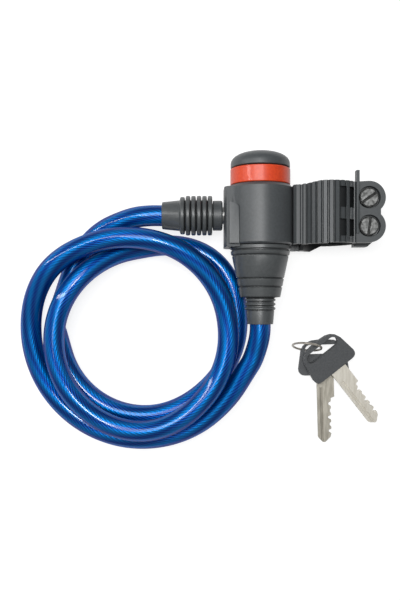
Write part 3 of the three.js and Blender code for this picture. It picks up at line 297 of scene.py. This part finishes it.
def grain(tree, shader, light, dark, scale, depth, stretch):
    """Noise between two colours, and the same noise as a shallow bump."""
    place = tree.nodes.new("ShaderNodeTexCoord")
    mapping = tree.nodes.new("ShaderNodeMapping")
    mapping.inputs["Scale"].default_value = stretch
    noise = tree.nodes.new("ShaderNodeTexNoise")
    noise.inputs["Scale"].default_value = scale
    noise.inputs["Detail"].default_value = 3
    ramp = tree.nodes.new("ShaderNodeValToRGB")
    ramp.color_ramp.elements[0].position = GRAIN_FROM
    ramp.color_ramp.elements[1].position = GRAIN_TO
    ramp.color_ramp.elements[0].color = linear(dark)
    ramp.color_ramp.elements[1].color = linear(light)
    bump = tree.nodes.new("ShaderNodeBump")
    bump.inputs["Strength"].default_value = depth
    bump.inputs["Distance"].default_value = GRAIN_HEIGHT
    tree.links.new(place.outputs["Object"], mapping.inputs["Vector"])
    tree.links.new(mapping.outputs["Vector"], noise.inputs["Vector"])
    tree.links.new(noise.outputs["Fac"], ramp.inputs["Fac"])
    tree.links.new(ramp.outputs["Color"], shader.inputs["Base Color"])
    tree.links.new(noise.outputs["Fac"], bump.inputs["Height"])
    tree.links.new(bump.outputs["Normal"], shader.inputs["Normal"])


def grained(name, light, dark, roughness, scale=900, depth=0.4, metallic=0.0, coat=0.0,
            stretch=(1, 1, 1)):
    """A finish whose colour goes from dark to light with the noise, and whose surface rises with
    it."""
    material, tree, shader = finish(name, light, roughness, metallic, coat)
    grain(tree, shader, light, dark, scale, depth, stretch)
    return material


print("the grain is", GRAIN_HEIGHT / MM, "mm high")

# %% Plastic and rubber
moulded_grey = grained("moulded grey nylon", 0x4C5052, 0x474A4C, 0.42, depth=0.15)
strap_grey = grained("strap grey nylon", 0x44484A, 0x3E4244, 0.42, depth=0.15)
boot_grey = grained("boot grey rubber", 0x525556, 0x4C4F50, 0.36, scale=700, depth=0.12)
liner_rubber = grained("liner rubber", 0x3A3C3D, 0x303233, 0.75)
signal_red = grained("signal red band", 0xE64E22, 0xDA421C, 0.4, depth=0.2, coat=0.16)
key_head_plastic = grained("key head plastic", 0x545658, 0x4A4C4E, 0.6, scale=1400, depth=0.3)
print("finishes of plastic and rubber:", len(bpy.data.materials))

# %% Metal
BRUSHED = (1, 0.15, 1)  # the grain of the key blades runs roughly along them
brushed_brass = grained("brass", 0xC2A65A, 0xAA8F48, 0.32, metallic=1.0)
plated_steel = grained("plated steel", 0xB8B9B8, 0xA5A6A6, 0.32, metallic=1.0, depth=0.3)
screw_steel = grained("zinc screw", 0x8A8B8A, 0x4E4F4E, 0.42, scale=700, metallic=0.6, depth=0.6)
key_nickel = grained("key nickel", 0xF2EDE0, 0xE2DCCE, 0.42, metallic=0.3, depth=0.2,
                     stretch=BRUSHED)
# Key B's blade is a darker copy of the nickel: partly its worn, stamped plating, and partly
# painted shade, since it lies lower than key A's blade and catches less light.
worn_shaded_nickel = grained("worn and shaded key nickel", 0xC2BDB0, 0xA49F92, 0.45, metallic=0.5, depth=0.3,
                      stretch=BRUSHED)
ring_steel = grained("ring wire", 0xB8B2A8, 0xA69F95, 0.3, metallic=0.5, depth=0.1)
pin_steel = grained("plug pin", 0xC4C4C2, 0xB0B0AE, 0.3, metallic=0.9, depth=0.1)
print("all finishes so far:", len(bpy.data.materials))

# %% [markdown]
# ## The dark of grooves and slots
#
# Little light reaches the floor of a narrow groove: between the strap's ribs, in the rings of the
# boots, in the screws' slots. The solids have these forms, but a broad lamp still lights them. An
# ambient occlusion node could darken them, but it is slow, and it also darkens a flat surface that
# something comes near. Each groove lies at a known distance from a plane or an axis, so here that
# distance darkens the colour.

# %% Darken by place
def darken_by_place(material, scale, offset, low, high, share):
    """The colour times a share that grows to 1 as the length of (place * scale + offset) goes
    from low to high, in millimetres."""
    tree = material.node_tree
    colour = tree.nodes["Principled BSDF"].inputs["Base Color"]
    painted = colour.links[0].from_socket
    place = tree.nodes.new("ShaderNodeTexCoord")
    moved = tree.nodes.new("ShaderNodeMapping")
    moved.inputs["Scale"].default_value = scale
    moved.inputs["Location"].default_value = [value * MM for value in offset]
    away = tree.nodes.new("ShaderNodeVectorMath")
    away.operation = "LENGTH"
    lit = tree.nodes.new("ShaderNodeMapRange")
    lit.inputs["From Min"].default_value = low * MM
    lit.inputs["From Max"].default_value = high * MM
    lit.inputs["To Min"].default_value = share
    shade = tree.nodes.new("ShaderNodeVectorMath")
    shade.operation = "SCALE"
    tree.links.new(place.outputs["Object"], moved.inputs["Vector"])
    tree.links.new(moved.outputs["Vector"], away.inputs[0])
    tree.links.new(away.outputs["Value"], lit.inputs["Value"])
    tree.links.new(painted, shade.inputs[0])
    tree.links.new(lit.outputs[0], shade.inputs["Scale"])
    tree.links.new(shade.outputs[0], colour)


FROM_THE_TABLE = (0, 0, 1)
ALONG_X, ALONG_Y, AROUND_Y = (1, 0, 0), (0, 1, 0), (1, 0, 1)
print("ways to measure:", FROM_THE_TABLE, ALONG_X, ALONG_Y, AROUND_Y)

# %% The strap, the screws and the pin
CLAMP_X, CLAMP_Z = 32.3, 15.09  # the axis of the clamp
RIB_FLOOR, RIB_TOP = 13.2, 14.2  # distances from that axis
SLOT_FLOOR, SCREW_TOP = 21.4, 22.2  # heights over the table
# The pin is painted almost black within 10.5 mm of that place: painted shade inside the plug's
# collar and boot. Past the collar it stays bright.
PIN_IN_COLLAR, PIN_DARK, PIN_BRIGHT = -30, 10.5, 11.5  # a place, and two distances from it
darken_by_place(strap_grey, AROUND_Y, (-CLAMP_X, 0, -CLAMP_Z), RIB_FLOOR, RIB_TOP, share=0.25)
darken_by_place(screw_steel, FROM_THE_TABLE, (0, 0, 0), SLOT_FLOOR, SCREW_TOP, share=0.12)
darken_by_place(pin_steel, ALONG_X, (-PIN_IN_COLLAR, 0, 0), PIN_DARK, PIN_BRIGHT, share=0.05)
print("height of a screw's slot:", round(SCREW_TOP - SLOT_FLOOR, 1), "mm")

# %% The boots' grooves
BOOT_GROOVES = (-16.6, -19, -30, -34, -38.9, -41, -43, -45.1)
PLUG_RIB_START, PLUG_RIB_PITCH, PLUG_VALLEYS = -38.5, 2.617, 5
for place in BOOT_GROOVES:
    darken_by_place(boot_grey, ALONG_Y, (0, -place, 0), low=0.25, high=0.6, share=0.45)
for valley in range(1, PLUG_VALLEYS + 1):
    place = PLUG_RIB_START + valley * PLUG_RIB_PITCH
    darken_by_place(boot_grey, ALONG_X, (-place, 0, 0), low=0.3, high=0.9, share=0.35)
print("grooves:", len(BOOT_GROOVES), "in the tail's boot and", PLUG_VALLEYS, "in the plug's")

# %% [markdown]
# ## The strands under the sheath
#
# The cable is a rope of twisted steel strands in a clear blue sheath. The strands could be
# modelled inside a see-through hose, but from outside they are only slanting bands that fine
# wires cross the other way. Both are waves of the two numbers that the tube's UV map holds, so
# the twist follows every bend, and the clear sheath is a coat over them.

# %% Waves that wind round the cable
STRANDS, STRAND_SPACING = 7, 42 * MM
WIRES, WIRE_SPACING = 26, 3 * MM


def wave(tree, uv, around, along):
    """The sine of so many turns round the cable plus so many along each metre of it."""
    mix = tree.nodes.new("ShaderNodeVectorMath")
    mix.operation = "DOT_PRODUCT"
    mix.inputs[1].default_value = (along * 2 * math.pi, around * 2 * math.pi, 0)
    sine = tree.nodes.new("ShaderNodeMath")
    sine.operation = "SINE"
    tree.links.new(uv.outputs["UV"], mix.inputs[0])
    tree.links.new(mix.outputs["Value"], sine.inputs[0])
    return sine


sheath_blue, sheath_tree, sheath_shader = finish("blue sheath", 0x0B3F8C, 0.45, 0.7, coat=1.0)
cable_uv = sheath_tree.nodes.new("ShaderNodeUVMap")
cable_uv.uv_map = "along and round"
strand_wave = wave(sheath_tree, cable_uv, STRANDS, 1 / STRAND_SPACING)
wire_wave = wave(sheath_tree, cable_uv, WIRES, -1 / WIRE_SPACING)
print("bands of strands along the cable:", round(CABLE_LENGTH / STRAND_SPACING, 1))

# %% The strands' colour and relief
WIRE_SHARE = 0.35
# The slanting bands are the rope's own pattern, but their colour follows the relief: the crests of
# strands and wires are painted bright blue, as painted light that the steel reflects, and the
# grooves between them deep blue, as painted shade.
GROOVE_SHADE_BLUE, CREST_LIGHT_BLUE = 0x062A7C, 0x0072BC
weave = sheath_tree.nodes.new("ShaderNodeMath")
weave.operation = "MULTIPLY_ADD"
weave.inputs[1].default_value = WIRE_SHARE
spread = sheath_tree.nodes.new("ShaderNodeMapRange")
spread.inputs["From Min"].default_value = -(1 + WIRE_SHARE)
spread.inputs["From Max"].default_value = 1 + WIRE_SHARE
strand_ramp = sheath_tree.nodes.new("ShaderNodeValToRGB")
strand_ramp.color_ramp.elements[0].color = linear(GROOVE_SHADE_BLUE)
strand_ramp.color_ramp.elements[1].color = linear(CREST_LIGHT_BLUE)
sheath_bump = sheath_tree.nodes.new("ShaderNodeBump")
sheath_bump.inputs["Strength"].default_value = 0.4
sheath_bump.inputs["Distance"].default_value = 0.25 * MM
sheath_tree.links.new(wire_wave.outputs[0], weave.inputs[0])
sheath_tree.links.new(strand_wave.outputs[0], weave.inputs[2])
sheath_tree.links.new(weave.outputs[0], spread.inputs["Value"])
sheath_tree.links.new(spread.outputs[0], strand_ramp.inputs["Fac"])
sheath_tree.links.new(strand_ramp.outputs["Color"], sheath_shader.inputs["Base Color"])
sheath_tree.links.new(weave.outputs[0], sheath_bump.inputs["Height"])
sheath_tree.links.new(sheath_bump.outputs["Normal"], sheath_shader.inputs["Normal"])
print("the sheath's nodes:", len(sheath_tree.nodes))

# %% [markdown]
# ## The gloss of the sheath
#
# The hose is smooth, and the lamps draw sharp lines on it. A clear coat gives them, but it also
# mirrors the pale room, most of all along the cable's edges, where that would bleach the blue. On
# the real cable the edges stay dark. So Layer Weight, which grows towards the edges, takes the
# coat away there.

# %% The sheath's gloss
FACING_FROM, COAT_AT_EDGE, COAT_IN_FRONT = 0.35, 0.03, 0.6
sheath_shader.inputs["Coat Roughness"].default_value = 0.08
sheath_shader.inputs["Coat IOR"].default_value = 1.5
sheath_shader.inputs["Specular IOR Level"].default_value = 0.1
sheath_shader.inputs["Specular Tint"].default_value = linear(0x3C54B8)
slant = sheath_tree.nodes.new("ShaderNodeLayerWeight")
gloss = sheath_tree.nodes.new("ShaderNodeMapRange")
gloss.inputs["From Min"].default_value = FACING_FROM
gloss.inputs["To Min"].default_value = COAT_IN_FRONT
gloss.inputs["To Max"].default_value = COAT_AT_EDGE
sheath_tree.links.new(slant.outputs["Facing"], gloss.inputs["Value"])
sheath_tree.links.new(gloss.outputs[0], sheath_shader.inputs["Coat Weight"])
print("the coat falls from", COAT_IN_FRONT, "to", COAT_AT_EDGE, "at the edge")

# %% [markdown]
# ## The cable and its lead
#
# On the real lock this is one cable. Its tail and coil stay with the lock, while the last stretch
# has to bend when the plug is pulled, so it's made in two pieces. They meet inside the coil's last
# turn with the same ring of points, and their patterns run on, because the lead's lengths start
# where the cable's end. One mesh couldn't both ride on the lock and bend.

# %% A sheathed length of cable
def add_cable(name, path, start_way, end_way, from_length):
    """The tube with both ends closed, and its UV map of lengths along and shares round. It is
    shaded by the directions away from its middle line, so the light runs on over a joint."""
    grid = tube_grid(path, start_way, end_way)
    rings = len(path)
    side_faces = grid_faces(rings, CABLE_SIDES)
    first_ring = list(range(CABLE_SIDES))
    last_ring = list(range((rings - 1) * CABLE_SIDES, rings * CABLE_SIDES))
    faces = side_faces.tolist() + [first_ring[::-1], last_ring]
    piece = add_piece(name, grid, faces, sheath_blue)
    along = from_length + length_along(path)
    ring = side_faces // CABLE_SIDES
    share = np.tile([0, 1, 1, 0], (len(side_faces), 1)) + (side_faces[:, :1] % CABLE_SIDES)
    corners = np.stack([along[ring], share / CABLE_SIDES], axis=-1).reshape(-1, 2)
    ends = np.zeros((2 * CABLE_SIDES, 2))
    layer = piece.data.uv_layers.new(name="along and round")
    layer.data.foreach_set("uv", np.concatenate([corners, ends]).ravel())
    outward = (grid - path[:, None]) / CABLE_RADIUS
    piece.data.normals_split_custom_set_from_vertices(outward.reshape(-1, 3).tolist())
    return piece


print("each end is one face with", CABLE_SIDES, "corners")

# %% Cable and lead
OUT_OF_BOOT, INTO_PLUG = np.array([0, -1, 0]), np.array([1, 0, 0])
cable = add_cable("sheathed_cable", cable_path, OUT_OF_BOOT, coil_end_way, 0)
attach(cable, "lock")
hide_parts("cable_tail", "cable_coil")
plug_lead = add_cable("sheathed_lead", lead_path, coil_end_way, INTO_PLUG, CABLE_LENGTH)
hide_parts("cable_lead")
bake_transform(plug_lead)
print("sheath faces:", len(cable.data.polygons), len(plug_lead.data.polygons))

# %% [markdown]
# ## The CAD nodes
#
# The mechanism inside the lock, the nuts and the liner are the CAD solids themselves. They could
# be modelled again, but nobody looks closely at a wafer, so each node keeps its own mesh and gets
# only its material.

# %% Paint the nodes
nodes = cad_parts
paint = {
    "lock_housing": moulded_grey, "key_cover": moulded_grey, "plug_collar": moulded_grey,
    "red_band": signal_red, "tail_boot": boot_grey, "plug_boot": boot_grey,
    "clamp_strap": strap_grey, "clamp_liner": liner_rubber,
    "cylinder_case": brushed_brass, "key_plug": brushed_brass,
    "end_plate": plated_steel, "drive_cam": plated_steel, "latch_bolt": plated_steel,
    "tail_crimp": plated_steel, "plug_crimp": plated_steel, "plug_pin": pin_steel,
    "screw_upper": screw_steel, "screw_lower": screw_steel,
    "nut_upper": screw_steel, "nut_lower": screw_steel,
    "key_a_blade": key_nickel, "key_b_blade": worn_shaded_nickel,
    "key_a_head": key_head_plastic, "key_b_head": key_head_plastic, "key_ring": ring_steel,
    "tail_cable_end": sheath_blue, "plug_cable_end": sheath_blue,
}
paint.update({f"wafer_{number}": brushed_brass for number in range(1, 6)})
for name, material in paint.items():
    nodes[name].data.materials.clear()
    nodes[name].data.materials.append(material)
print("painted nodes:", len(paint))

# %% [markdown]
# ## Softer copies of the moulded pieces
#
# A CAD solid shows its facets, and its edges are as sharp as a knife. A moulded or turned piece
# has neither. Finer solids would cure the first and not the second. So each piece that the camera
# sees gets a copy of its solid: the triangles are joined, flat parts become single faces, round
# parts are shaded as smooth, and a narrow bevel catches the light along the edges. The shape
# stays the solid's own.

# %% A joined and smoothed mesh
SHARP = math.radians(28)
FLAT = math.radians(0.6)
TOUCHING = 0.002 * MM


def joined_mesh(node_name):
    """The node's triangles joined where they touch, merged where they are flat, and shaded
    smooth up to the sharp angle."""
    shell = bmesh.new()
    shell.from_mesh(nodes[node_name].data)
    bmesh.ops.remove_doubles(shell, verts=shell.verts, dist=TOUCHING)
    bmesh.ops.dissolve_limit(shell, angle_limit=FLAT, verts=shell.verts, edges=shell.edges)
    mesh = bpy.data.meshes.new("soft_" + node_name)
    shell.to_mesh(mesh)
    shell.free()
    mesh.shade_smooth()
    mesh.set_sharp_from_angle(angle=SHARP)
    mesh.materials.append(paint[node_name])
    return mesh


print("an edge is sharp past", round(math.degrees(SHARP)), "degrees")

# %% A softened copy
def soften(node_name, body, slot, width):
    """The joined mesh with its sharp edges bevelled to a width in millimetres, in the place of
    the node."""
    piece = bpy.data.objects.new("soft_" + node_name, joined_mesh(node_name))
    bpy.context.scene.collection.objects.link(piece)
    if width:
        bevel = piece.modifiers.new("edge", "BEVEL")
        bevel.width = width * MM
        bevel.segments = 2
        bevel.limit_method = "ANGLE"
        bevel.angle_limit = SHARP
        bevel.harden_normals = True
    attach(piece, body)
    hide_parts(node_name)
    return piece


softened = {
    "lock_housing": ("lock", "housing", 0.25), "red_band": ("lock", "band", 0.1),
    "tail_boot": ("lock", "boot", 0.12), "key_cover": ("cover", "cover", 0.25),
    "plug_boot": ("plug", "boot", 0.12), "plug_collar": ("plug", "housing", 0.1),
    "plug_pin": ("plug", "steel", 0.1), "clamp_strap": ("bracket", "bracket", 0.18),
    "screw_upper": ("bracket", "screw", 0.1), "screw_lower": ("bracket", "screw", 0.1),
    "key_a_head": ("key_a", "key_head", 0.45), "key_b_head": ("key_b", "key_head", 0.45),
    "key_a_blade": ("key_a", "key_metal", 0.12), "key_b_blade": ("key_b", "key_metal", 0.12),
    "key_ring": ("lock", "ring_wire", 0),
}
soft_copies = {name: soften(name, *how) for name, how in softened.items()}
print("softened:", len(soft_copies))

# %% [markdown]
# ## What the cable is
#
# A cord is bent and measured by other tools, so its facts are written down: where it leaves the
# lock, how long and thick it is, what its far end holds, how stiff it is and how it lies. The
# lead ends in the plug. The plug's softened boot, collar and pin, its crimp and the cable's end
# inside it are gathered in one list.

# %% The plug's pieces
plug_pieces = [soft_copies[name] for name in ("plug_boot", "plug_collar", "plug_pin")]
plug_pieces += [nodes["plug_crimp"], nodes["plug_cable_end"]]
print("pieces that travel with the lead:", len(plug_pieces))

# %% [markdown]
# ## The table
#
# The lock lies on plain white. More light would whiten the table, but it would bleach the lock
# too. So the table is a grey diffuse sheet that keeps the shadow, and it glows for the camera, and
# for rays that reflections and clear things send out. The lamps can then stay at a plain level.

# %% The table's white
TABLE_GREY = (0.3, 0.3, 0.3, 1)
TABLE_GLOW = 0.83
table_white = bpy.data.materials.new("white table")
table_white.use_nodes = True
table_tree = table_white.node_tree
table_tree.nodes.remove(table_tree.nodes["Principled BSDF"])
paper = table_tree.nodes.new("ShaderNodeBsdfDiffuse")
paper.inputs["Color"].default_value = TABLE_GREY
ray = table_tree.nodes.new("ShaderNodeLightPath")
seen = ray.outputs["Is Camera Ray"]
for ray_kind in ("Is Glossy Ray", "Is Transmission Ray"):
    either = table_tree.nodes.new("ShaderNodeMath")
    either.operation = "MAXIMUM"
    table_tree.links.new(seen, either.inputs[0])
    table_tree.links.new(ray.outputs[ray_kind], either.inputs[1])
    seen = either.outputs[0]
level = table_tree.nodes.new("ShaderNodeMath")
level.operation = "MULTIPLY"
level.inputs[1].default_value = TABLE_GLOW
glow = table_tree.nodes.new("ShaderNodeEmission")
both = table_tree.nodes.new("ShaderNodeAddShader")
table_tree.links.new(seen, level.inputs[0])
table_tree.links.new(level.outputs[0], glow.inputs["Strength"])
table_tree.links.new(paper.outputs[0], both.inputs[0])
table_tree.links.new(glow.outputs[0], both.inputs[1])
table_tree.links.new(both.outputs[0], table_tree.nodes["Material Output"].inputs["Surface"])
print("the table's nodes:", len(table_tree.nodes))

# %% The table's sheet
TABLE_HALF = 1.2
table_corners = np.array([[-1, -1, 0], [1, -1, 0], [1, 1, 0], [-1, 1, 0]]) * TABLE_HALF
table_mesh = bpy.data.meshes.new("table")
table_mesh.from_pydata(table_corners.tolist(), [], [[0, 1, 2, 3]])
table_mesh.materials.append(table_white)
table = bpy.data.objects.new("table", table_mesh)
bpy.context.scene.collection.objects.link(table)
print("the table is", 2 * TABLE_HALF, "m wide")

# %% [markdown]
# ## The light
#
# Three lamps light the lock: a broad soft one overhead, a small one that draws a bright line
# along the top of every turn of the cable, and a narrow strip at the left for the second line. A
# picture of a studio could light it too, but each lamp here does one thing that can be seen. The
# room itself is a faint pale level, raised for the camera and for what gloss shows.

# %% Lamps
TABLE_MIDDLE = np.array([-0.03, -0.04, 0])
LAMPS = (  # name, width and length in metres, watts, place
    ("overhead softbox", 0.4, 0.4, 2.8, (-0.11, 0.12, 0.74)),
    ("overhead key", 0.11, 0.11, 1.2, (0.0, 0.03, 0.8)),
    ("side strip", 0.03, 0.7, 1.3, (-0.42, 0.12, 0.42)),
)


def lamp(name, width, length, watts, at):
    """A flat lamp of that size, aimed at the middle of the table: tipped by the angle between
    the aim and straight down, then turned to the side it stands on."""
    data = bpy.data.lights.new(name, "AREA")
    data.shape = "RECTANGLE"
    data.size, data.size_y = width, length
    data.energy = watts
    light = bpy.data.objects.new(name, data)
    light.location = at
    aim = np.array(at) - TABLE_MIDDLE
    tip = math.acos(aim[2] / np.linalg.norm(aim))
    light.rotation_euler = (tip, 0, math.atan2(aim[0], -aim[1]))
    bpy.context.scene.collection.objects.link(light)


for row in LAMPS:
    lamp(*row)
print("lamps:", len(bpy.data.lights))

# %% The room
ROOM_LEVEL = 0.13
ROOM_COLOUR = (0.97, 0.98, 1, 1)
ROOM_MORE = {"Is Camera Ray": 0.87, "Is Transmission Ray": 0.87, "Is Glossy Ray": 0.12}
world = bpy.data.worlds.new("pale room")
world.use_nodes = True
room = world.node_tree
room_light = room.nodes["Background"].inputs
room_light["Color"].default_value = ROOM_COLOUR
room_ray = room.nodes.new("ShaderNodeLightPath")
total = None
for ray_kind, more in ROOM_MORE.items():
    added = room.nodes.new("ShaderNodeMath")
    added.operation = "MULTIPLY_ADD"
    added.inputs[1].default_value = more
    added.inputs[2].default_value = ROOM_LEVEL
    room.links.new(room_ray.outputs[ray_kind], added.inputs[0])
    if total:
        room.links.new(total.outputs[0], added.inputs[2])
    total = added
room.links.new(total.outputs[0], room_light["Strength"])
bpy.context.scene.world = world
bpy.context.scene.view_settings.view_transform = "Standard"
print("the camera sees the room at", ROOM_LEVEL + ROOM_MORE["Is Camera Ray"])
